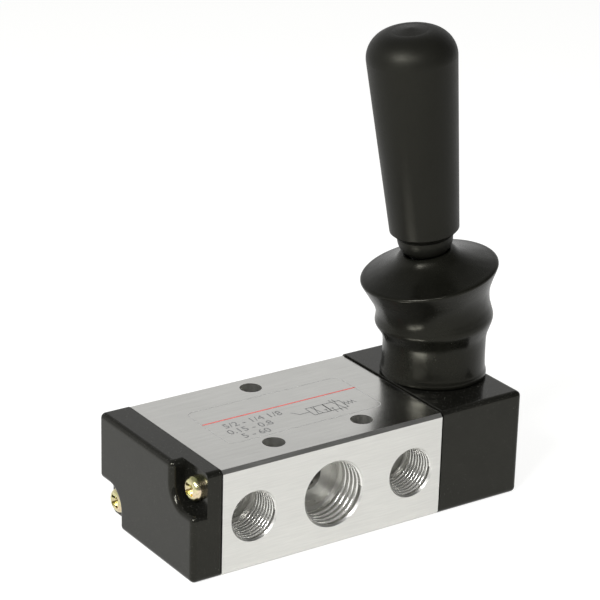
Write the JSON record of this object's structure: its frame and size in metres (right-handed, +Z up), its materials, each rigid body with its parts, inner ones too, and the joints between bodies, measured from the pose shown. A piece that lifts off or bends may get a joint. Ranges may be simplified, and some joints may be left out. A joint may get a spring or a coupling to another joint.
{
  "type": "hand lever air valve",
  "caption": "Hand lever spool air valve: aluminium block with threaded ports, black end castings, rubber boot and a tilting lever with tapered grip.",
  "frame": {"origin": "on the valve block's underside, below the supply port's centre line and midway between the two port faces", "axes": "+X along the spool from the end cap to the lever, +Y from the supply port face to the outlet face, +Z up"},
  "size_m": [0.0795, 0.035, 0.096],
  "materials": {
    "body_aluminium": "satin silver anodised, fine lengthwise draw lines",
    "black_cast": "gloss black enamel over casting",
    "boot_rubber": "moulded rubber with a soft gloss",
    "grip_plastic": "satin moulded plastic",
    "zinc_screw": "yellow zinc plated",
    "steel": "ground steel",
    "spool_aluminium": "turned",
    "brass": "turned",
    "bearing_plastic": "machined plastic",
    "seal_rubber": "matt nitrile rubber"
  },
  "bodies": {
    "valve_body": {"valve_block": "body_aluminium", "end_cap": "black_cast", "lever_housing": "black_cast", "end_cap_gasket": "seal_rubber", "housing_gasket": "seal_rubber", "pivot_pin": "steel", "detent_ball": "steel", "detent_spring": "steel", "detent_screw": "steel", "end_seal_left": "seal_rubber", "end_seal_right": "seal_rubber", "end_bearing_left": "bearing_plastic", "end_bearing_right": "bearing_plastic", "boot": "boot_rubber", "end_cap_screw_top": "zinc_screw", "end_cap_screw_bottom": "zinc_screw", "housing_screw_top": "zinc_screw", "housing_screw_bottom": "zinc_screw"},
    "lever": {"lever_rod": "steel", "grip": "grip_plastic", "grip_insert": "brass"},
    "spool": {"spool": "spool_aluminium", "spool_seal_1": "seal_rubber", "spool_seal_2": "seal_rubber", "spool_seal_3": "seal_rubber", "spool_seal_4": "seal_rubber"}
  },
  "joints": [
    {"name": "lever_tilt", "type": "hinge", "parent": "valve_body", "child": "lever", "pos_m": [0.0358, 0, 0.0285], "axis": [0, 1, 0], "range_deg": [0, 15.6], "deforming": ["boot"]},
    {"name": "spool_slide", "type": "slide", "parent": "valve_body", "child": "spool", "axis": [1, 0, 0], "range_m": [-0.0048, 0]}
  ],
  "couplings": [
    {"joint": "spool_slide", "follows": "lever_tilt", "m_per_rad": -0.0175}
  ]
}
